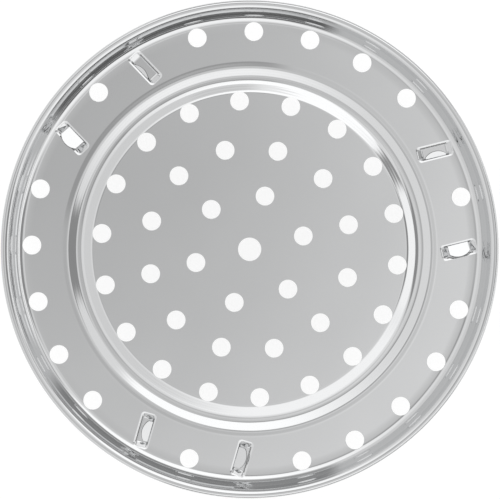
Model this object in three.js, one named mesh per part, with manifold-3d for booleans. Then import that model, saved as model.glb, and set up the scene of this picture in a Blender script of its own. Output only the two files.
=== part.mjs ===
// Steamer rack: a round pressed tray standing on three spring legs bent from flat strip.
// Millimetres, +Z up. The feet stand on z = 0, the tray's axis is the Z axis and the front leg faces -Y.
// Each leg hooks its two tongues outward into a pair of pressed loops near the edge of the tray.
import * as THREE from "three";
import { mergeVertices } from "three/addons/utils/BufferGeometryUtils.js";
import Module from "manifold-3d";

const wasm = await Module();
wasm.setup();

// Whole rack
const TRAY_DIAMETER = 240;
const OVERALL_HEIGHT = 55;
const LEG_COUNT = 3;

// Tray sheet, from the edge inwards
const SHEET = 0.5;
const RIM_WIDTH = 8.5;
const RIM_HEIGHT = 8;
const RIM_FOOT_BEND = 4.5;
const WALL_HEIGHT = 5.1;
const WALL_ANGLE = THREE.MathUtils.degToRad(57.5);
const SHOULDER_BEND = 1.2;
const OUTER_FLAT_WIDTH = 23.4;
const GROOVE_DEPTH = 1.7;
const GROOVE_FLOOR = 2.4;
const DISC_RAISE = 0.8;
const RAMP_ANGLE = THREE.MathUtils.degToRad(24);
const RAMP_BEND = 3;
const BEAD_DIAMETER = 4;
const BEAD_RISER = 0.9;
const BEAD_BEND = 0.6;
const BEAD_START = THREE.MathUtils.degToRad(165);
const BEAD_END = THREE.MathUtils.degToRad(-130);

// Steam holes: as many rings as the disc holds, each with six more holes than the last,
// and one ring on the outer flat
const CENTRE_HOLE = 11.2;
const STEAM_HOLE = 9;
const FIRST_RING_RADIUS = 26.8;
const FIRST_RING_HOLES = 6;
const RING_PITCH = 22.6;
const OUTER_RING_INSET = 5.9;
const OUTER_RING_PLACES = 24;

// Pressed loops, a pair for each leg
const LOOP_SPACING = 49;
const LOOP_INSET = 13;
const LOOP_LENGTH = 17.6;
const LOOP_WIDTH = 6.2;
const LOOP_CORNER = 1.5;
const LOOP_DEPTH = 1.8;
const LOOP_FLOOR = 11.6;
const LOOP_THINNING = 0.1;
const LOOP_CLEARANCE = 0.4;
const LOOP_ROOT = 0.7;
const LOOP_BEND = 1.8;

// Legs
const STRIP_WIDTH = 10;
const STRIP = 0.6;
const TONGUE_RISE = THREE.MathUtils.degToRad(25);
const TONGUE_GAP = 0.4;
const TONGUE_SHOWN = 4.9;
const TONGUE_LENGTH = 11.6;
const TONGUE_CROWN = 2.1;
const TONGUE_BEND = 1.4;
const LEG_SPLAY = THREE.MathUtils.degToRad(6);
const FOOT_BEND = 7;
// How far round, counterclockwise from above, each leg sits off the middle of its two loops
const FRONT_LEG_SHIFT = 0.4;
const RIGHT_LEG_SHIFT = -1.7;
const LEFT_LEG_SHIFT = 2.7;

// Fineness of round faces
const TRAY_SIDES = 48;
const HOLE_SIDES = 14;
const BEND_STEPS = 2;
const WIDE_BEND_STEPS = 4;
const BEAD_STEPS = 8;
const LEG_BEND_STEPS = 5;

const flatTop = OVERALL_HEIGHT - RIM_HEIGHT;
const beadRadius = BEAD_DIAMETER / 2;
const rampSlope = Math.tan(RAMP_ANGLE);
const rimFootRadius = TRAY_DIAMETER / 2 - RIM_WIDTH;
const rimBendStart = rimFootRadius - RIM_FOOT_BEND * Math.tan(WALL_ANGLE / 2);
const flatInner = rimFootRadius - OUTER_FLAT_WIDTH;
const grooveOuter = flatInner - GROOVE_DEPTH / rampSlope;
const grooveInner = grooveOuter - GROOVE_FLOOR;
const discRadius = grooveInner - (DISC_RAISE + GROOVE_DEPTH) / rampSlope;
const discRings = Math.floor((discRadius - FIRST_RING_RADIUS) / RING_PITCH) + 1;
const outerRingRadius = rimFootRadius - OUTER_RING_INSET;
const loopDistance = rimFootRadius - LOOP_INSET;
const legPitch = (2 * Math.PI) / LEG_COUNT;
const frontAngle = -Math.PI / 2;

function at(x, y) {
  return new THREE.Vector2(x, y);
}

function corner(x, y, bend, steps = BEND_STEPS) {
  return { point: at(x, y), bend, steps };
}

function direction(angle, length = 1) {
  return at(Math.cos(angle) * length, Math.sin(angle) * length);
}

// A run of strip or sheet seen edge on: stations along it, each with a point and the normal on its left.
// Every inner corner is rounded to its own bend radius.
function bentRun(corners) {
  const stations = [];
  corners.forEach(({ point, bend, steps }, i) => {
    const before = corners[Math.max(i - 1, 0)].point;
    const after = corners[Math.min(i + 1, corners.length - 1)].point;
    const last = i === corners.length - 1;
    const heading = (i ? point.clone().sub(before) : after.clone().sub(point)).angle();
    if (i === 0 || last) {
      stations.push({ point, normal: direction(heading + Math.PI / 2) });
      return;
    }
    const next = after.clone().sub(point).angle();
    const turn = Math.atan2(Math.sin(next - heading), Math.cos(next - heading));
    const side = Math.sign(turn);
    const setBack = bend * Math.tan(Math.abs(turn) / 2);
    const start = point.clone().sub(direction(heading, setBack));
    const centre = start.clone().add(direction(heading + Math.PI / 2, side * bend));
    for (let k = 0; k <= steps; k++) {
      const normal = direction(heading + (turn * k) / steps + Math.PI / 2);
      stations.push({ point: centre.clone().addScaledVector(normal, -side * bend), normal });
    }
  });
  return stations;
}

// The closed outline of a run given some thickness on the left and on the right of its stations.
function thickened(stations, left, right) {
  const leftSide = stations.map(({ point, normal }) => point.clone().addScaledVector(normal, left));
  const rightSide = stations.map(({ point, normal }) => point.clone().addScaledVector(normal, -right));
  return [...leftSide, ...rightSide.reverse()];
}

function solid(geometry) {
  geometry.deleteAttribute("normal");
  geometry.deleteAttribute("uv");
  const merged = mergeVertices(geometry);
  return new wasm.Manifold(
    new wasm.Mesh({
      numProp: 3,
      vertProperties: merged.attributes.position.array,
      triVerts: new Uint32Array(merged.index.array),
    }),
  );
}

function extruded(shape, depth) {
  const settings = { depth, bevelEnabled: false, curveSegments: LEG_BEND_STEPS };
  return new THREE.ExtrudeGeometry(shape, settings).translate(0, 0, -depth / 2);
}

// An outline drawn in X and Z, carried along Y to a width that is centred on the outline.
function extrudedAcross(outline, width) {
  return extruded(new THREE.Shape(outline), width).rotateX(Math.PI / 2);
}

function namedMesh(made, name, colour) {
  const mesh = made.getMesh();
  const geometry = new THREE.BufferGeometry();
  geometry.setAttribute("position", new THREE.BufferAttribute(mesh.vertProperties, 3));
  geometry.setIndex(new THREE.BufferAttribute(mesh.triVerts, 1));
  geometry.computeVertexNormals();
  const material = new THREE.MeshStandardMaterial({ color: colour, metalness: 1, roughness: 0.2 });
  const named = new THREE.Mesh(geometry, material);
  named.name = name;
  return named;
}

// Upper surface of the tray from the centre hole to the free end of the rolled edge
function traySection() {
  const discTop = flatTop + DISC_RAISE;
  const grooveTop = flatTop - GROOVE_DEPTH;
  const wallTopRadius = rimFootRadius + WALL_HEIGHT / Math.tan(WALL_ANGLE);
  const beadCentre = at(TRAY_DIAMETER / 2 - beadRadius, OVERALL_HEIGHT - beadRadius);
  const beadFoot = beadCentre.clone().add(direction(BEAD_START, beadRadius));
  const riserFoot = beadFoot.clone().sub(direction(BEAD_START - Math.PI / 2, BEAD_RISER));
  const sheet = bentRun([
    corner(CENTRE_HOLE / 2, discTop),
    corner(discRadius, discTop, RAMP_BEND),
    corner(grooveInner, grooveTop, RAMP_BEND),
    corner(grooveOuter, grooveTop, RAMP_BEND),
    corner(flatInner, flatTop, RAMP_BEND),
    corner(rimFootRadius, flatTop, RIM_FOOT_BEND, WIDE_BEND_STEPS),
    corner(wallTopRadius, flatTop + WALL_HEIGHT, SHOULDER_BEND),
    corner(riserFoot.x, riserFoot.y, BEAD_BEND),
    corner(beadFoot.x, beadFoot.y),
  ]);
  for (let k = 1; k <= BEAD_STEPS; k++) {
    const normal = direction(BEAD_START + ((BEAD_END - BEAD_START) * k) / BEAD_STEPS);
    sheet.push({ point: beadCentre.clone().addScaledVector(normal, beadRadius), normal });
  }
  return thickened(sheet, 0, SHEET);
}

function steamHole(radius, angle) {
  const cutter = new THREE.CylinderGeometry(STEAM_HOLE / 2, STEAM_HOLE / 2, OVERALL_HEIGHT, HOLE_SIDES);
  cutter.rotateX(Math.PI / 2);
  cutter.translate(radius * Math.cos(angle), radius * Math.sin(angle), flatTop);
  return solid(cutter);
}

function steamHoles() {
  const cutters = [];
  for (let ring = 1; ring <= discRings; ring++) {
    const count = FIRST_RING_HOLES * ring;
    const radius = FIRST_RING_RADIUS + RING_PITCH * (ring - 1);
    for (let i = 0; i < count; i++) cutters.push(steamHole(radius, frontAngle + (2 * Math.PI * i) / count));
  }
  const placesPerLeg = OUTER_RING_PLACES / LEG_COUNT;
  for (let i = 0; i < OUTER_RING_PLACES; i++) {
    const place = i % placesPerLeg;
    const takenByLoop = place === 1 || place === placesPerLeg - 1;
    const angle = frontAngle + (2 * Math.PI * i) / OUTER_RING_PLACES;
    if (!takenByLoop) cutters.push(steamHole(outerRingRadius, angle));
  }
  return cutters;
}

// The window that a loop is pressed out of: a rectangle with round corners, cut down through the sheet.
function loopWindow() {
  const x = LOOP_WIDTH / 2;
  const y = LOOP_LENGTH / 2;
  const r = LOOP_CORNER;
  const outline = new THREE.Shape();
  outline.absarc(x - r, y - r, r, 0, Math.PI / 2);
  outline.absarc(r - x, y - r, r, Math.PI / 2, Math.PI);
  outline.absarc(r - x, r - y, r, Math.PI, 1.5 * Math.PI);
  outline.absarc(x - r, r - y, r, 1.5 * Math.PI, 2 * Math.PI);
  return extruded(outline, RIM_HEIGHT);
}

// Height of the sheet above the outer flat, so far out from the middle of a loop,
// where it turns up into the rim
function rimRise(out) {
  const radius = Math.hypot(loopDistance + out, LOOP_SPACING / 2);
  const along = THREE.MathUtils.clamp(radius - rimBendStart, 0, RIM_FOOT_BEND * Math.sin(WALL_ANGLE));
  return RIM_FOOT_BEND - Math.sqrt(RIM_FOOT_BEND ** 2 - along ** 2);
}

// The strap left bridging the window, pressed down below the tray and a little thinned by it.
// Its outer end leaves the sheet where the rim begins to rise.
function loopStrap() {
  const top = -LOOP_THINNING / 2;
  const end = LOOP_LENGTH / 2;
  const floor = LOOP_FLOOR / 2;
  const strap = bentRun([
    corner(-end - LOOP_ROOT, top + rimRise(end + LOOP_ROOT)),
    corner(-end, top + rimRise(end), LOOP_BEND),
    corner(-floor, -LOOP_DEPTH, LOOP_BEND),
    corner(floor, -LOOP_DEPTH, LOOP_BEND),
    corner(end, top, LOOP_BEND),
    corner(end + LOOP_ROOT, top),
  ]);
  const section = thickened(strap, 0, SHEET - LOOP_THINNING);
  return extrudedAcross(section, LOOP_WIDTH - 2 * LOOP_CLEARANCE).rotateZ(Math.PI / 2);
}

function tray() {
  const section = traySection();
  section.push(section[0]);
  let made = solid(new THREE.LatheGeometry(section.reverse(), TRAY_SIDES).rotateX(Math.PI / 2));
  const cutters = steamHoles();
  const straps = [];
  for (let leg = 0; leg < LEG_COUNT; leg++) {
    for (const side of [-1, 1]) {
      const x = (side * LOOP_SPACING) / 2;
      cutters.push(solid(loopWindow().translate(x, -loopDistance, flatTop).rotateZ(leg * legPitch)));
      straps.push(solid(loopStrap().translate(x, -loopDistance, flatTop).rotateZ(leg * legPitch)));
    }
  }
  for (const cutter of cutters) made = made.subtract(cutter);
  for (const strap of straps) made = made.add(strap);
  return made;
}

// Cuts the end of a tongue, which points along +X from the origin, to its round crown.
function tongueTrimmer() {
  const half = STRIP_WIDTH / 2;
  const radius = (half * half + TONGUE_CROWN * TONGUE_CROWN) / (2 * TONGUE_CROWN);
  const spread = Math.asin(half / radius);
  const outline = new THREE.Shape();
  outline.moveTo(-TONGUE_CROWN, -STRIP_WIDTH);
  outline.lineTo(TONGUE_CROWN, -STRIP_WIDTH);
  outline.lineTo(TONGUE_CROWN, STRIP_WIDTH);
  outline.lineTo(-TONGUE_CROWN, STRIP_WIDTH);
  outline.absarc(-radius, 0, radius, spread, -spread, true);
  return extruded(outline, TONGUE_LENGTH);
}

// One leg at the front: a U of strip whose ends turn outward as tongues that rise through the loops.
// Each tongue passes under the near edge of its loop's window and over the far edge.
function leg(shift) {
  const loopEdge = (LOOP_SPACING - LOOP_WIDTH) / 2;
  const rise = Math.tan(TONGUE_RISE);
  const edgeHeight = flatTop - SHEET - TONGUE_GAP - STRIP / 2 / Math.cos(TONGUE_RISE);
  const footHeight = STRIP / 2;
  const tongueAt = (reach) => at(reach, edgeHeight + (reach - loopEdge) * rise);
  const half = (offset) => {
    const tip = tongueAt(loopEdge + TONGUE_SHOWN + offset);
    const bend = tongueAt(tip.x - TONGUE_LENGTH * Math.cos(TONGUE_RISE));
    const foot = at(bend.x + (bend.y - footHeight) * Math.tan(LEG_SPLAY), footHeight);
    return { tip, bend, foot };
  };
  const left = half(-shift);
  const right = half(shift);
  const strip = bentRun([
    corner(-left.tip.x, left.tip.y),
    corner(-left.bend.x, left.bend.y, TONGUE_BEND, LEG_BEND_STEPS),
    corner(-left.foot.x, left.foot.y, FOOT_BEND, LEG_BEND_STEPS),
    corner(right.foot.x, right.foot.y, FOOT_BEND, LEG_BEND_STEPS),
    corner(right.bend.x, right.bend.y, TONGUE_BEND, LEG_BEND_STEPS),
    corner(right.tip.x, right.tip.y),
  ]);
  const rightTrimmer = tongueTrimmer().rotateY(-TONGUE_RISE);
  rightTrimmer.translate(right.tip.x, 0, right.tip.y);
  const leftTrimmer = tongueTrimmer().rotateZ(Math.PI).rotateY(TONGUE_RISE);
  leftTrimmer.translate(-left.tip.x, 0, left.tip.y);
  return solid(extrudedAcross(thickened(strip, STRIP / 2, STRIP / 2), STRIP_WIDTH))
    .subtract(solid(rightTrimmer))
    .subtract(solid(leftTrimmer))
    .translate([0, -loopDistance, 0]);
}

function turned(made, steps) {
  return made.rotate([0, 0, THREE.MathUtils.radToDeg(steps * legPitch)]);
}

const rack = new THREE.Group();
rack.name = "steamer_rack";
rack.add(namedMesh(tray(), "tray", 0xcfd1d3));
rack.add(namedMesh(leg(FRONT_LEG_SHIFT), "front_leg", 0xc4c6c8));
rack.add(namedMesh(turned(leg(RIGHT_LEG_SHIFT), 1), "right_leg", 0xc4c6c8));
rack.add(namedMesh(turned(leg(LEFT_LEG_SHIFT), 2), "left_leg", 0xc4c6c8));

export default rack;
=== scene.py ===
import math

import bpy
from mathutils import Matrix, Vector


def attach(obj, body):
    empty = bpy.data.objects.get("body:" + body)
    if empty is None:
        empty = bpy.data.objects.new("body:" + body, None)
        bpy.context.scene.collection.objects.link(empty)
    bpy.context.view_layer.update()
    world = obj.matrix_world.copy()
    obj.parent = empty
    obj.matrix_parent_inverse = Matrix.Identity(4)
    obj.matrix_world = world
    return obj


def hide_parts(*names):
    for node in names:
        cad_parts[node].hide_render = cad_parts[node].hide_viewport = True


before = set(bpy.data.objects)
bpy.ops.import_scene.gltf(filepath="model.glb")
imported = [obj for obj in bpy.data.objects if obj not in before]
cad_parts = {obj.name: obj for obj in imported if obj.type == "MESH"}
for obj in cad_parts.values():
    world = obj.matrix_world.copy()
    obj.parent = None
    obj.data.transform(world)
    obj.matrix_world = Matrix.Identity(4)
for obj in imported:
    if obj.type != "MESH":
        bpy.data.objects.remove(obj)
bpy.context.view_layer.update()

# Camera: straight above the tray and about a metre up, on a long lens, so that the rim just
# fills the picture. The picture is turned so that the front leg lies to the lower left.
MM = 0.001
PICTURE_WIDTH = 500
PICTURE_TURN = math.radians(16.1)
LENS_ABOVE_TRAY = 1000 * MM
LENS_RIGHT = 0.18 * MM
LENS_DOWN = 0.12 * MM
TRAY_FLAT = 47 * MM
TRAY_RADIUS = 120 * MM
TRAY_WIDEST = 53 * MM
TRAY_RADIUS_SHOWN = 249

picture_right = Vector((math.cos(PICTURE_TURN), math.sin(PICTURE_TURN), 0))
picture_up = Vector((-math.sin(PICTURE_TURN), math.cos(PICTURE_TURN), 0))
lens_height = TRAY_FLAT + LENS_ABOVE_TRAY
eye = picture_right * LENS_RIGHT - picture_up * LENS_DOWN + Vector((0, 0, lens_height))
bpy.ops.object.camera_add(location=eye, rotation=(0, 0, PICTURE_TURN))
camera = bpy.context.object
camera.data.lens = (TRAY_RADIUS_SHOWN / PICTURE_WIDTH * camera.data.sensor_width
                    * (lens_height - TRAY_WIDEST) / TRAY_RADIUS)
bpy.context.scene.camera = camera

# Tray: one disc of polished stainless sheet, drawn with a raised centre and a groove round it.
# The edge stands up in a steep rim and is rolled outward and under into a bead.
SHEET = 0.5 * MM
SHEET_START = 4 * MM
DISC_TOP = TRAY_FLAT + 0.8 * MM
GROOVE_TOP = TRAY_FLAT - 1.55 * MM
BEAD_CREST = Vector((118.5 * MM, 55 * MM))
BEAD_INSIDE = 3.3 * MM
BEAD_OUTSIDE = 1.5 * MM
BEAD_START = math.radians(151)
BEAD_END = math.radians(-130)
BEAD_STEPS = 36
TRAY_STEPS = 240
BEND_STEP = math.radians(3)
BEND_MARGIN = 0.25 * MM
MERGE_DISTANCE = 0.001 * MM


def bent_line(corners, bend_step=BEND_STEP):
    """Points along bent sheet seen edge on, from corners of (out, up, bend radius), in metres.
    A straight stretch keeps a point close to each of its bends, so that it stays flat when it
    is shaded smooth."""
    points = [Vector(corners[0][:2])]
    for before, corner, after in zip(corners, corners[1:], corners[2:]):
        here = Vector(corner[:2])
        arriving = (here - Vector(before[:2])).normalized()
        leaving = (Vector(after[:2]) - here).normalized()
        turn = math.atan2(arriving.x * leaving.y - arriving.y * leaving.x, arriving.dot(leaving))
        start = here - arriving * corner[2] * math.tan(abs(turn) / 2)
        spoke = Vector((arriving.y, -arriving.x)) * math.copysign(corner[2], turn)
        run = start - points[-1]
        if run.length > 3 * BEND_MARGIN:
            if len(points) > 1:
                points.append(points[-1] + run.normalized() * BEND_MARGIN)
            points.append(start - run.normalized() * BEND_MARGIN)
        steps = max(2, math.ceil(abs(turn) / bend_step))
        for k in range(steps + 1):
            points.append(start - spoke + Matrix.Rotation(turn * k / steps, 2) @ spoke)
    run = Vector(corners[-1][:2]) - points[-1]
    if run.length > 3 * BEND_MARGIN:
        points.append(points[-1] + run.normalized() * BEND_MARGIN)
    points.append(Vector(corners[-1][:2]))
    return points


def draw_line(name, points):
    """A new piece that is only a line through the points, left in edit mode and selected."""
    bpy.ops.object.select_all(action="DESELECT")
    bpy.ops.mesh.primitive_plane_add(size=MM, location=points[0])
    line = bpy.context.object
    line.name = name
    bpy.ops.object.transform_apply(location=True, rotation=False, scale=False)
    bpy.ops.object.mode_set(mode="EDIT")
    bpy.ops.mesh.merge(type="CENTER")
    for here, there in zip(points, points[1:]):
        bpy.ops.mesh.extrude_region_move(TRANSFORM_OT_translate={"value": there - here})
    bpy.ops.mesh.select_all(action="SELECT")
    return line


def spin_round(steps):
    """Turns the line being edited into a surface round the tray's axis, with its faces outwards."""
    bpy.ops.mesh.spin(steps=steps, angle=math.tau, center=(0, 0, 0), axis=(0, 0, 1))
    bpy.ops.mesh.select_all(action="SELECT")
    bpy.ops.mesh.remove_doubles(threshold=MERGE_DISTANCE)
    bpy.ops.mesh.normals_make_consistent(inside=False)


def finish_with(piece, kind, **settings):
    """Adds a modifier to a piece and applies it."""
    bpy.ops.object.select_all(action="DESELECT")
    piece.select_set(True)
    bpy.context.view_layer.objects.active = piece
    bpy.ops.object.modifier_add(type=kind)
    change = piece.modifiers[-1]
    for name, value in settings.items():
        setattr(change, name, value)
    bpy.ops.object.modifier_apply(modifier=change.name)


bead = []
for k in range(BEAD_STEPS + 1):
    angle = BEAD_START + (BEAD_END - BEAD_START) * k / BEAD_STEPS
    radius = BEAD_INSIDE if angle > math.pi / 2 else BEAD_OUTSIDE
    bead.append(BEAD_CREST + radius * Vector((math.cos(angle), math.sin(angle) - 1)))
section = bent_line([
    (SHEET_START, DISC_TOP),
    (76.45 * MM, DISC_TOP, 3.2 * MM),  # edge of the disc
    (81.35 * MM, GROOVE_TOP, 6 * MM),  # floor of the groove
    (84.1 * MM, GROOVE_TOP, 3.6 * MM),
    (88.2 * MM, TRAY_FLAT + 0.2 * MM, 3.6 * MM),  # lip that falls slightly to the outer flat
    (90.8 * MM, TRAY_FLAT, 12 * MM),
    (107.6 * MM, TRAY_FLAT, 43 * MM),  # slow rise to the foot of the rim
    (111.66 * MM, TRAY_FLAT + 0.27 * MM, 5 * MM),
    (113.4 * MM, TRAY_FLAT + 2.9 * MM, 4 * MM),  # slight kink half way up the rim
    (114.72 * MM, TRAY_FLAT + 4.69 * MM, 6 * MM),
    (bead[0].x, bead[0].y),
]) + bead[1:]
tray = draw_line("rack_tray", [Vector((out, 0, up)) for out, up in section])
spin_round(TRAY_STEPS)
bpy.ops.object.mode_set(mode="OBJECT")
finish_with(tray, "SOLIDIFY", thickness=SHEET, offset=-1, use_even_offset=True)

# Steam holes: punched through the sheet from above, so the upper edge of each is rolled over
# a little. Three rings stand round the centre hole on the disc, and one ring, broken by the
# loops, on the outer flat.
CENTRE_HOLE = 11.2 * MM
STEAM_HOLE = 9 * MM
FIRST_RING = 26.8 * MM
RING_PITCH = 22.6 * MM
DISC_RINGS = 3
FIRST_RING_HOLES = 6
OUTER_RING = 105.6 * MM
OUTER_PLACES = 24
PLACES_PER_LEG = 8
LOOP_PLACES = (1, 7)
PUNCHED_EDGE = 0.15 * MM
EDGE_STEPS = 4
PUNCH_BELOW = 5 * MM
PUNCH_ABOVE = 9 * MM
PUNCH_STEPS = 56
FRONT = -math.pi / 2


def punch(name, diameter):
    """A closed punch on the tray's axis, whose mouth flares where the hole's edge is rolled over."""
    radius = diameter / 2
    profile = [Vector((0, -PUNCH_BELOW)), Vector((radius, -PUNCH_BELOW))]
    for k in range(EDGE_STEPS + 1):
        angle = math.pi - math.pi / 2 * k / EDGE_STEPS
        lip = Vector((math.cos(angle), math.sin(angle))) * PUNCHED_EDGE
        profile.append(Vector((radius + PUNCHED_EDGE, -PUNCHED_EDGE)) + lip)
    profile += [Vector((radius + PUNCHED_EDGE, PUNCH_ABOVE)), Vector((0, PUNCH_ABOVE))]
    made = draw_line(name, [Vector((out, 0, DISC_TOP + up)) for out, up in profile])
    spin_round(PUNCH_STEPS)
    return made


def cut_away(piece, cutter):
    """Cuts the cutter's shape out of a piece and removes the cutter."""
    finish_with(piece, "BOOLEAN", operation="DIFFERENCE", solver="EXACT", object=cutter)
    bpy.data.objects.remove(cutter)


centre_punch = punch("centre_punch", CENTRE_HOLE)
bpy.ops.object.mode_set(mode="OBJECT")
cut_away(tray, centre_punch)

hole_places = []
for ring in range(DISC_RINGS):
    out = FIRST_RING + RING_PITCH * ring
    holes = FIRST_RING_HOLES * (ring + 1)
    for i in range(holes):
        angle = FRONT + math.tau * i / holes
        hole_places.append(Vector((out * math.cos(angle), out * math.sin(angle), 0)))
for i in range(OUTER_PLACES):
    if i % PLACES_PER_LEG not in LOOP_PLACES:
        angle = FRONT + math.tau * i / OUTER_PLACES
        hole_places.append(Vector((OUTER_RING * math.cos(angle), OUTER_RING * math.sin(angle),
                                   TRAY_FLAT - DISC_TOP)))
steam_punches = punch("steam_punches", STEAM_HOLE)
bpy.ops.transform.translate(value=hole_places[0])
for here, there in zip(hole_places, hole_places[1:]):
    bpy.ops.mesh.duplicate_move(TRANSFORM_OT_translate={"value": there - here})
bpy.ops.object.mode_set(mode="OBJECT")
cut_away(tray, steam_punches)

# Loops: six straps slit free along both sides near the rim and pressed down, still joined to
# the sheet at their ends. The slit edges of the sheet are drawn down and rounded by the pressing.
LOOP_SPACING = 49 * MM
LOOP_DISTANCE = 98.5 * MM
LOOP_LENGTH = 16.2 * MM
LOOP_WIDTH = 6.2 * MM
LOOP_CORNER = 1.5 * MM
LOOP_CORNER_STEPS = 8
LOOP_SIDE_CUTS = 14
LOOP_DEPTH = 1.8 * MM
LOOP_BEND = 1.8 * MM
LOOP_ROOT = 1.5 * MM
ROOT_DROP = 0.06 * MM
STRAP = 0.4 * MM
STRAP_FLAT = 2.05 * MM
STRAP_ROUND = 0.5 * MM
STRAP_SIDE = 2.55 * MM
STRAP_SIDE_DROP = 0.22 * MM
STRAP_FOLD = 0.12 * MM
STRAP_HEM = 1 * MM
STRAP_CLEAR = 0.01 * MM
RAMP_TOP = 8.75 * MM
RAMP_FOOT = 5.9 * MM
SLIT_EDGE = 0.75 * MM
SLIT_DROP = 0.33 * MM
SLIT_BEND = 0.1 * MM
SLIT_ROUND = 0.8 * MM
FLARE_OUT = 0.3 * MM
FLARE_RISE = 0.05 * MM
SLITTER_BELOW = 4 * MM
SLITTER_ABOVE = 8 * MM
CUT_STEP = math.radians(9)
LEGS = 3
LEG_PITCH = math.tau / LEGS
SMOOTH_BELOW = math.radians(10)


def sheet_rise(point):
    """How far the upper face of the sheet stands above the outer flat at a point of the tray."""
    out = point.xy.length
    for near, far in zip(section, section[1:]):
        if near.x <= out <= far.x:
            return near.y + (far.y - near.y) * (out - near.x) / (far.x - near.x) - TRAY_FLAT


def loop_slitter():
    """The cutter for one window: a rectangle with round corners, whose sides flare near the top
    of the sheet."""
    middle = Vector((LOOP_SPACING / 2, -LOOP_DISTANCE, TRAY_FLAT - SLITTER_BELOW))
    bpy.ops.object.select_all(action="DESELECT")
    bpy.ops.mesh.primitive_plane_add(size=1, location=middle)
    cutter = bpy.context.object
    cutter.name = "loop_slitter"
    cutter.scale = (LOOP_WIDTH, LOOP_LENGTH, 1)
    bpy.ops.object.transform_apply(location=True, rotation=False, scale=True)
    bpy.ops.object.mode_set(mode="EDIT")
    bpy.ops.mesh.bevel(affect="VERTICES", offset=LOOP_CORNER, segments=LOOP_CORNER_STEPS)
    bpy.ops.mesh.select_mode(type="EDGE")
    bpy.ops.mesh.select_all(action="DESELECT")
    bpy.ops.object.mode_set(mode="OBJECT")
    for edge in cutter.data.edges:
        first, last = (cutter.data.vertices[i].co for i in edge.vertices)
        edge.select = (first - last).length > LOOP_LENGTH / 2
    bpy.ops.object.mode_set(mode="EDIT")
    bpy.ops.mesh.subdivide(number_cuts=LOOP_SIDE_CUTS)
    bpy.ops.mesh.select_mode(type="VERT")
    bpy.ops.mesh.select_all(action="SELECT")
    flare = bent_line([
        (0, -SLITTER_BELOW),
        (0, -SLIT_DROP, SLIT_BEND),
        (SLIT_EDGE, 0, SLIT_ROUND),
        (SLIT_EDGE + FLARE_OUT, FLARE_RISE),
    ], CUT_STEP)
    flare.append(flare[-1] + Vector((0, SLITTER_ABOVE)))
    for here, there in zip(flare, flare[1:]):
        bpy.ops.mesh.extrude_region_move(TRANSFORM_OT_translate={"value": (0, 0, there.y - here.y)})
        widening = (LOOP_WIDTH + 2 * there.x) / (LOOP_WIDTH + 2 * here.x)
        lengthening = (LOOP_LENGTH + 2 * there.x) / (LOOP_LENGTH + 2 * here.x)
        bpy.ops.transform.resize(value=(widening, lengthening, 1), center_override=middle)
    bpy.ops.mesh.select_all(action="SELECT")
    bpy.ops.mesh.normals_make_consistent(inside=False)
    bpy.ops.object.mode_set(mode="OBJECT")
    for vertex in cutter.data.vertices:
        if vertex.co.z > TRAY_FLAT - 2 * SLIT_DROP:
            vertex.co.z += sheet_rise(vertex.co)
    return cutter


def loop_strap():
    """One strap, bent down across its window, with its long edges turned under. Its roots lie
    inside the thickness of the sheet and follow it where it starts to rise to the rim."""
    end = LOOP_LENGTH / 2 + LOOP_ROOT
    run = bent_line([
        (-end, -ROOT_DROP),
        (-RAMP_TOP, -ROOT_DROP, LOOP_BEND),
        (-RAMP_FOOT, -LOOP_DEPTH, LOOP_BEND),
        (RAMP_FOOT, -LOOP_DEPTH, LOOP_BEND),
        (RAMP_TOP, -ROOT_DROP, LOOP_BEND),
        (end, -ROOT_DROP),
    ])
    half = bent_line([
        (0, 0),
        (STRAP_FLAT, 0, STRAP_ROUND),
        (STRAP_SIDE, -STRAP_SIDE_DROP, STRAP_FOLD),
        (LOOP_WIDTH / 2 - STRAP_CLEAR, -STRAP_HEM),
    ], CUT_STEP)[1:]
    across = [Vector((-x, up)) for x, up in reversed(half)] + half
    left = LOOP_SPACING / 2 + across[0].x
    left_edge = [Vector((left, along - LOOP_DISTANCE, TRAY_FLAT + up)) for along, up in run]
    strap = draw_line("loop_strap", left_edge)
    for here, there in zip(across, across[1:]):
        bpy.ops.mesh.extrude_region_move(TRANSFORM_OT_translate={"value": (there.x - here.x, 0, 0)})
    bpy.ops.mesh.select_all(action="SELECT")
    bpy.ops.mesh.normals_make_consistent(inside=False)
    bpy.ops.object.mode_set(mode="OBJECT")
    for vertex in strap.data.vertices:
        sunk = (TRAY_FLAT - vertex.co.z) / LOOP_DEPTH
        off_middle = vertex.co.x - LOOP_SPACING / 2
        turned_under = min(across, key=lambda station: abs(station.x - off_middle)).y
        vertex.co.z += sunk * turned_under + (1 - sunk) * sheet_rise(vertex.co)
    if strap.data.polygons[0].normal.z < 0:
        strap.data.flip_normals()
    finish_with(strap, "SOLIDIFY", thickness=STRAP, offset=-1, use_even_offset=True)
    return strap


def at_each_loop(piece):
    """Six copies of a piece made at one loop, joined as one piece. Each leg has a right loop and
    its mirror image."""
    bpy.ops.object.select_all(action="DESELECT")
    for leg in range(LEGS):
        for side in (1, -1):
            twin = piece.copy()
            twin.data = piece.data.copy()
            turned = Matrix.Rotation(leg * LEG_PITCH, 4, "Z")
            twin.data.transform(turned @ Matrix.Scale(side, 4, (1, 0, 0)))
            if side < 0:
                twin.data.flip_normals()
            bpy.context.scene.collection.objects.link(twin)
            twin.select_set(True)
            bpy.context.view_layer.objects.active = twin
    bpy.ops.object.join()
    bpy.data.objects.remove(piece)
    return bpy.context.object


cut_away(tray, at_each_loop(loop_slitter()))
straps = at_each_loop(loop_strap())
finish_with(tray, "BOOLEAN", operation="UNION", solver="EXACT", object=straps)
bpy.data.objects.remove(straps)
bpy.ops.object.select_all(action="DESELECT")
tray.select_set(True)
bpy.context.view_layer.objects.active = tray
bpy.ops.object.shade_smooth_by_angle(angle=SMOOTH_BELOW)

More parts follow.
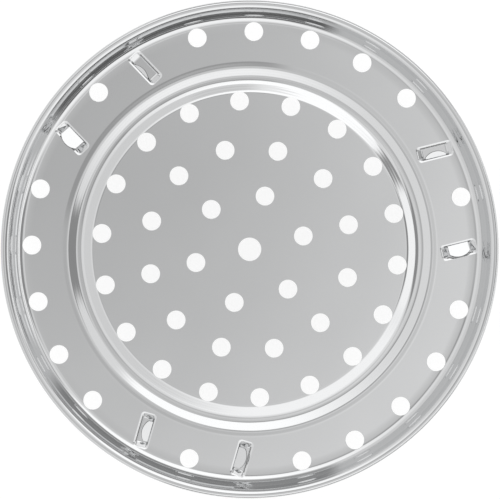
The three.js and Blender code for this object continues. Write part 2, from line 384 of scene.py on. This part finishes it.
# The cut edges of the straps are sheared and matt; their dark colour is painted shade for the
# shadowed crevices beside the straps.
SHEARED_SHADE_WITHIN = LOOP_WIDTH / 2 - 0.005 * MM
SHEARED_SHADE_ALONG = RAMP_FOOT + 1 * MM
FACING_UP = 0.7
# Faces marked here are sheared and matt, and get a dark colour that is painted shade.
sheared_and_shade = tray.data.attributes.new("sheared_and_shade", "FLOAT", "FACE")
for face in tray.data.polygons:
    turn = round((math.atan2(face.center.y, face.center.x) - FRONT) / LEG_PITCH) * LEG_PITCH
    place = Matrix.Rotation(-turn, 2) @ face.center.xy
    beside = abs(abs(place.x) - LOOP_SPACING / 2)
    if beside < SHEARED_SHADE_WITHIN and abs(place.y + LOOP_DISTANCE) < SHEARED_SHADE_ALONG:
        sheared_and_shade.data[face.index].value = 1 if abs(face.normal.z) < FACING_UP else 0

# Polish of the tray: a mirror finish, slightly wavy from the press, with faint clouds where it
# was wiped. The slopes keep fine rings from the drawing of the sheet, which make their
# reflections streaky.
STEEL_DARK = (0.655, 0.66, 0.665, 1)
STEEL_LIGHT = (0.70, 0.705, 0.71, 1)
PAINTED_EDGE_SHADE = (0.22, 0.22, 0.22, 1)
MIRROR_ROUGHNESS = 0.04
CLOUD_ROUGHNESS = 0.05
SHEARED_ROUGHNESS = 0.4
CLOUDS_PER_METRE = 22
PRESS_WAVES_PER_METRE = 14
WANDER_PER_METRE = 30
RING_WANDER = 9
DRAW_PITCH = 1.3 * MM
TRAY_WAVE = 0.3 * MM
TRAY_DRAWN = 0.006 * MM


class Flow:
    """A value on its way through a node tree. Arithmetic on flows adds Math nodes to the tree."""

    def __init__(self, tree, socket=None):
        self.tree = tree
        self.socket = socket

    def node(self, kind, settings, inputs, output=0):
        """Adds a node of any kind: its settings first, then the values or links of its sockets."""
        made = self.tree.nodes.new(kind)
        for name, value in settings.items():
            setattr(made, name, value)
        for name, value in inputs.items():
            if isinstance(value, Flow):
                self.tree.links.new(value.socket, made.inputs[name])
            else:
                made.inputs[name].default_value = value
        return Flow(self.tree, made.outputs[output] if made.outputs else None)

    def math(self, operation, first, second=0.0):
        return self.node("ShaderNodeMath", {"operation": operation}, {0: first, 1: second})

    def __add__(self, other):
        return self.math("ADD", self, other)

    __radd__ = __add__

    def __sub__(self, other):
        return self.math("SUBTRACT", self, other)

    def __rsub__(self, other):
        return self.math("SUBTRACT", other, self)

    def __mul__(self, other):
        return self.math("MULTIPLY", self, other)

    __rmul__ = __mul__

    def __truediv__(self, other):
        return self.math("DIVIDE", self, other)

    def __rtruediv__(self, other):
        return self.math("DIVIDE", other, self)


def new_finish(name):
    """An empty material and the start of its node tree."""
    finish = bpy.data.materials.new(name)
    finish.use_nodes = True
    finish.node_tree.nodes.clear()
    return finish, Flow(finish.node_tree)


def rising(value, low, high):
    """0 below low, 1 above high, and smooth between them."""
    return value.node("ShaderNodeMapRange", {"interpolation_type": "SMOOTHSTEP"},
                      {"Value": value, "From Min": low, "From Max": high})


def noise(place, scale, detail):
    """Smooth noise over a piece, from 0 to 1."""
    return place.node("ShaderNodeTexNoise", {}, {"Vector": place, "Scale": scale, "Detail": detail})


def mixed(amount, first, second):
    """A colour between two others."""
    return amount.node("ShaderNodeMix", {"data_type": "RGBA"}, {0: amount, 6: first, 7: second}, 2)


def polished_steel(name, wave, drawn):
    """Polished stainless sheet with waves from the press, and ring-shaped draw lines on the
    slopes round the tray."""
    finish, start = new_finish(name)
    place = start.node("ShaderNodeTexCoord", {}, {}, "Object")
    clouds = noise(place, CLOUDS_PER_METRE, 4)
    press_waves = noise(place, PRESS_WAVES_PER_METRE, 1)
    # Marked faces take a dark colour, which is painted shade for crevices and cut edges; their matt
    # roughness is real.
    sheared_and_shade = start.node("ShaderNodeAttribute", {"attribute_name": "sheared_and_shade"}, {}, "Fac")
    colour = mixed(sheared_and_shade, mixed(clouds, STEEL_DARK, STEEL_LIGHT), PAINTED_EDGE_SHADE)
    flat_place = start.node("ShaderNodeVectorMath", {"operation": "MULTIPLY"},
                            {0: place, 1: (1, 1, 0)})
    out = start.node("ShaderNodeVectorMath", {"operation": "LENGTH"}, {0: flat_place}, "Value")
    wander = noise(place, WANDER_PER_METRE, 2)
    rings = start.math("SINE", out * (math.tau / DRAW_PITCH) + RING_WANDER * wander) * wander
    groove = rising(out, 76 * MM, 78 * MM) * (1 - rising(out, 87 * MM, 90 * MM))
    rim = rising(out, 108 * MM, 110 * MM)
    relief = wave * press_waves + drawn * rings * (groove + rim)
    bump = start.node("ShaderNodeBump", {}, {"Strength": 1, "Distance": 1, "Height": relief})
    steel = start.node("ShaderNodeBsdfPrincipled", {}, {
        "Base Color": colour,
        "Metallic": 1,
        "Roughness": MIRROR_ROUGHNESS + CLOUD_ROUGHNESS * clouds + SHEARED_ROUGHNESS * sheared_and_shade,
        "Normal": bump,
    })
    start.node("ShaderNodeOutputMaterial", {}, {"Surface": steel})
    return finish


tray.data.materials.clear()
tray.data.materials.append(polished_steel("tray_polish", TRAY_WAVE, TRAY_DRAWN))
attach(tray, "tray")
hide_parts("tray")

# Legs: three lengths of spring stainless strip, each bent to a U on two foot bends. The ends
# turn outward as tongues with crowned tips, which rise through the two loops and hold by the
# spring of the strip.
STRIP = 0.6 * MM
STRIP_WIDTH = 10 * MM
STRIP_EDGE = 0.12 * MM
STRIP_EDGE_STEPS = 3
SHARP_EDGE = math.radians(50)
TONGUE_RISE = math.radians(25)
TONGUE_GAP = 0.4 * MM
TONGUE_SHOWN = 4.9 * MM
TONGUE_LENGTH = 11.6 * MM
TONGUE_CROWN = 2.1 * MM
TONGUE_BEND = 1.4 * MM
TIP_REACH = 0.01 * MM
FACING_OUT = 0.5
LEG_SPLAY = math.radians(6)
FOOT_BEND = 7 * MM
LEG_WAVE = 0.1 * MM
ACROSS_STEPS = 12
FRONT_LEG_SHIFT = 0.4 * MM
RIGHT_LEG_SHIFT = -1.7 * MM
LEFT_LEG_SHIFT = 2.7 * MM


def spring_leg(name, shift, turn):
    """A leg whose bends sit off the middle of its loops by shift, turned round the tray to its
    place."""
    window_edge = (LOOP_SPACING - LOOP_WIDTH) / 2
    edge_height = TRAY_FLAT - SHEET - TONGUE_GAP - STRIP / 2 / math.cos(TONGUE_RISE)
    ends = []
    for side in (-1, 1):
        tip = window_edge + TONGUE_SHOWN + side * shift
        bend = tip - TONGUE_LENGTH * math.cos(TONGUE_RISE)
        tip_height = edge_height + (tip - window_edge) * math.tan(TONGUE_RISE)
        bend_height = edge_height + (bend - window_edge) * math.tan(TONGUE_RISE)
        foot = bend + (bend_height - STRIP / 2) * math.tan(LEG_SPLAY)
        ends.append([
            (side * tip, tip_height),
            (side * bend, bend_height, TONGUE_BEND),
            (side * foot, STRIP / 2, FOOT_BEND),
        ])
    run = bent_line(ends[0] + ends[1][::-1])
    first_edge = -LOOP_DISTANCE - STRIP_WIDTH / 2
    leg = draw_line(name, [Vector((along, first_edge, up)) for along, up in run])
    step = (0, STRIP_WIDTH / ACROSS_STEPS, 0)
    for k in range(ACROSS_STEPS):
        bpy.ops.mesh.extrude_region_move(TRANSFORM_OT_translate={"value": step})
    bpy.ops.mesh.select_all(action="SELECT")
    bpy.ops.mesh.normals_make_consistent(inside=False)
    bpy.ops.object.mode_set(mode="OBJECT")
    crown_radius = (STRIP_WIDTH ** 2 / 4 + TONGUE_CROWN ** 2) / (2 * TONGUE_CROWN)
    for side, end in zip((-1, 1), ends):
        outward = Vector((side * math.cos(TONGUE_RISE), 0, math.sin(TONGUE_RISE)))
        for vertex in leg.data.vertices:
            if abs(vertex.co.x - end[0][0]) < TIP_REACH:
                off_middle = vertex.co.y + LOOP_DISTANCE
                kept = math.sqrt(crown_radius ** 2 - off_middle ** 2)
                vertex.co -= outward * (crown_radius - kept)
    finish_with(leg, "SOLIDIFY", thickness=STRIP, offset=0, use_even_offset=True)
    finish_with(leg, "BEVEL", width=STRIP_EDGE, segments=STRIP_EDGE_STEPS,
                limit_method="ANGLE", angle_limit=SHARP_EDGE)
    # The cut tip faces of the tongues are marked too; their dark colour is painted shade along the
    # tips, and they are matt.
    sheared_and_shade = leg.data.attributes.new("sheared_and_shade", "FLOAT", "FACE")
    for face in leg.data.polygons:
        side = math.copysign(1, face.center.x)
        outward = Vector((side * math.cos(TONGUE_RISE), 0, math.sin(TONGUE_RISE)))
        at_tip = abs(face.center.x) > window_edge and face.normal.dot(outward) > FACING_OUT
        sheared_and_shade.data[face.index].value = 1 if at_tip else 0
    leg.data.transform(Matrix.Rotation(turn, 4, "Z"))
    bpy.ops.object.shade_smooth_by_angle(angle=SMOOTH_BELOW)
    leg.data.materials.append(leg_polish)
    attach(leg, name.removeprefix("spring_"))
    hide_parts(name.removeprefix("spring_"))


leg_polish = polished_steel("leg_polish", LEG_WAVE, 0)
spring_leg("spring_front_leg", FRONT_LEG_SHIFT, 0)
spring_leg("spring_right_leg", RIGHT_LEG_SHIFT, LEG_PITCH)
spring_leg("spring_left_leg", LEFT_LEG_SHIFT, 2 * LEG_PITCH)

# Floor: a sheet of plain white paper, which reads as white round the rack and darkens softly
# in its shadow. The camera, the steel and anything clear see the same bright paper.
FLOOR_SIZE = 6
FLOOR_DROP = 0.05 * MM
WHITE = (1, 1, 1, 1)
PLAIN_PAPER = (0.8, 0.8, 0.8, 1)
LIT_PAPER = (0.32, 0.32, 0.32, 1)
PAPER_GLOW = 0.77
bpy.ops.object.select_all(action="DESELECT")
bpy.ops.mesh.primitive_plane_add(size=FLOOR_SIZE, location=(0, 0, -FLOOR_DROP))
floor = bpy.context.object
floor.name = "floor"
floor_paper, start = new_finish("floor_paper")
ray = start.node("ShaderNodeLightPath", {}, {})
seen = ray.math("MAXIMUM", ray, Flow(ray.tree, ray.socket.node.outputs["Is Glossy Ray"]))
seen = ray.math("MAXIMUM", seen, Flow(ray.tree, ray.socket.node.outputs["Is Transmission Ray"]))
paper = start.node("ShaderNodeBsdfDiffuse", {}, {"Color": PLAIN_PAPER})
lit_paper = start.node("ShaderNodeBsdfDiffuse", {}, {"Color": LIT_PAPER})
glow = start.node("ShaderNodeEmission", {}, {"Color": WHITE, "Strength": PAPER_GLOW})
bright_paper = start.node("ShaderNodeAddShader", {}, {0: lit_paper, 1: glow})
surface = start.node("ShaderNodeMixShader", {}, {0: seen, 1: paper, 2: bright_paper})
start.node("ShaderNodeOutputMaterial", {}, {"Surface": surface})
floor.data.materials.append(floor_paper)

# Light tent: a white cloth dome over the rack, with a soft panel above the picture and one
# below, a dark gap to the right, and a dim mouth at the top where the camera looks in.
# Each tone is about what the polished steel shows where it mirrors that part of the tent.
TENT_RADIUS = 2.9
STEEL_SHINE = 0.68
CLOTH = 0.66
MOUTH = 0.481
LENS_SHADE = 0.3
UPPER_PANEL = 0.99
FAR_PANEL = 0.78
LOWER_PANEL = 0.88
RIGHT_GAP = 0.24
UPPER_RIGHT_GAP = 0.27
DARK_BELOW = 0.12
DARK_ABOVE = 0.25
DARK_ABOVE_LEFT = 0.3
WHITE_WALL = 1.05
WALL_SEAM = 0.65
bpy.ops.object.select_all(action="DESELECT")
bpy.ops.mesh.primitive_uv_sphere_add(segments=64, ring_count=32, radius=TENT_RADIUS)
tent = bpy.context.object
tent.name = "light_tent"
tent.visible_camera = False
tent_cloth, start = new_finish("tent_cloth")
place = start.node("ShaderNodeTexCoord", {}, {}, "Object")
aim = start.node("ShaderNodeVectorMath", {"operation": "NORMALIZE"}, {0: place})


def towards(direction):
    """How far a spot on the tent lies in a direction from its middle, from -1 to 1."""
    return aim.node("ShaderNodeVectorMath", {"operation": "DOT_PRODUCT"},
                    {0: aim, 1: direction}, "Value")


def panel(turn, left, right, bottom, top, blur, side_blur):
    """A soft rectangle on a flat ceiling, in ceiling heights to the right of and above the rack
    in the picture."""
    turn = math.radians(turn)
    along = ceiling_right * math.cos(turn) + ceiling_up * math.sin(turn)
    over = ceiling_up * math.cos(turn) - ceiling_right * math.sin(turn)
    inside = rising(along, left - side_blur, left + side_blur)
    inside = inside * (1 - rising(along, right - side_blur, right + side_blur))
    inside = inside * rising(over, bottom - blur, bottom + blur)
    return inside * (1 - rising(over, top - blur, top + blur))


def blend(under, over, amount):
    """One tone laid over another, by an amount from 0 to 1."""
    return under + (over - under) * amount


right = towards(picture_right)
up = towards(picture_up)
height = towards((0, 0, 1))
safe_height = aim.math("MAXIMUM", height, 0.03)
ceiling_right = right / safe_height
ceiling_up = up / safe_height
reach = aim.math("SQRT", aim.math("MAXIMUM", right * right + up * up, 0.0001))
round_right = right / reach
round_up = up / reach

# The cloth dims towards its top, less so to the right, and again close to the floor.
cloth = CLOTH - 0.19 * rising(height, 0.88, 0.96) - 0.06 * (1 - rising(height, 0.6, 0.7))
cloth = cloth + 0.25 * right * rising(height, 0.85, 0.95)
cloth = cloth - 0.1 * (1 - rising(height, 0.12, 0.28))
mouth = MOUTH + 0.65 * right - 0.36 * up + 2 * (right * right + up * up)
cloth = blend(cloth, mouth, rising(height, 0.965, 0.988))
beside_lens = rising(reach, 0.14, 0.18) * (1 - rising(reach, 0.27, 0.33))
beside_lens = beside_lens * rising(0.82 * round_up - 0.57 * round_right, 0.66, 0.78)
cloth = blend(cloth, LENS_SHADE, beside_lens)

# The panels hang high up, and the gap between them lies to the right.
cloth = blend(cloth, UPPER_PANEL, panel(24, -0.1, 1.6, 0.31, 1.2, 0.08, 0.4))
cloth = blend(cloth, FAR_PANEL, panel(24, 0.65, 2.6, 1.2, 2.4, 0.08, 0.15))
cloth = blend(cloth, LOWER_PANEL, panel(15, -0.85, 1.35, -2.6, -0.65, 0.3, 0.5))
cloth = blend(cloth, RIGHT_GAP, panel(0, 0.4, 1.16, -0.2, 0.22, 0.06, 0.06))
cloth = blend(cloth, UPPER_RIGHT_GAP, panel(0, 1.0, 1.34, 0.1, 0.85, 0.06, 0.06))

# The walls are dark above and below the picture, and white with a dark seam to the right.
middling = rising(round_right, -0.4, -0.3)
below = (1 - rising(height, 0.23, 0.44)) * rising(-1 * round_up, 0.5, 0.62) * middling
cloth = blend(cloth, DARK_BELOW, below)
upwards = rising(round_up, 0.5, 0.62) * middling
above = (1 - rising(height, 0.36, 0.44)) * upwards
cloth = blend(cloth, DARK_ABOVE, above)
above_left = (1 - rising(height, 0.46, 0.58)) * upwards * (1 - rising(round_right, -0.04, 0.1))
cloth = blend(cloth, DARK_ABOVE_LEFT, above_left)
beside = rising(height, 0.22, 0.29) * (1 - rising(height, 0.59, 0.66))
beside = beside * rising(round_right, 0.9, 0.95)
seam = rising(height, 0.35, 0.38) * (1 - rising(height, 0.43, 0.47))
wall = WHITE_WALL - 0.17 * rising(height, 0.3, 0.45) - WALL_SEAM * seam
cloth = blend(cloth, wall, beside)
shade = start.node("ShaderNodeCombineColor", {}, {"Red": cloth, "Green": cloth, "Blue": cloth})
light = start.node("ShaderNodeEmission", {}, {"Color": shade, "Strength": 1 / STEEL_SHINE})
start.node("ShaderNodeOutputMaterial", {}, {"Surface": light})
tent.data.materials.append(tent_cloth)

# World: plain white behind everything, seen past the edge of the paper.
world = bpy.context.scene.world or bpy.data.worlds.new("white_world")
bpy.context.scene.world = world
world.use_nodes = True
world.node_tree.nodes["Background"].inputs["Color"].default_value = WHITE
world.node_tree.nodes["Background"].inputs["Strength"].default_value = 1
bpy.context.scene.view_settings.view_transform = "Standard"
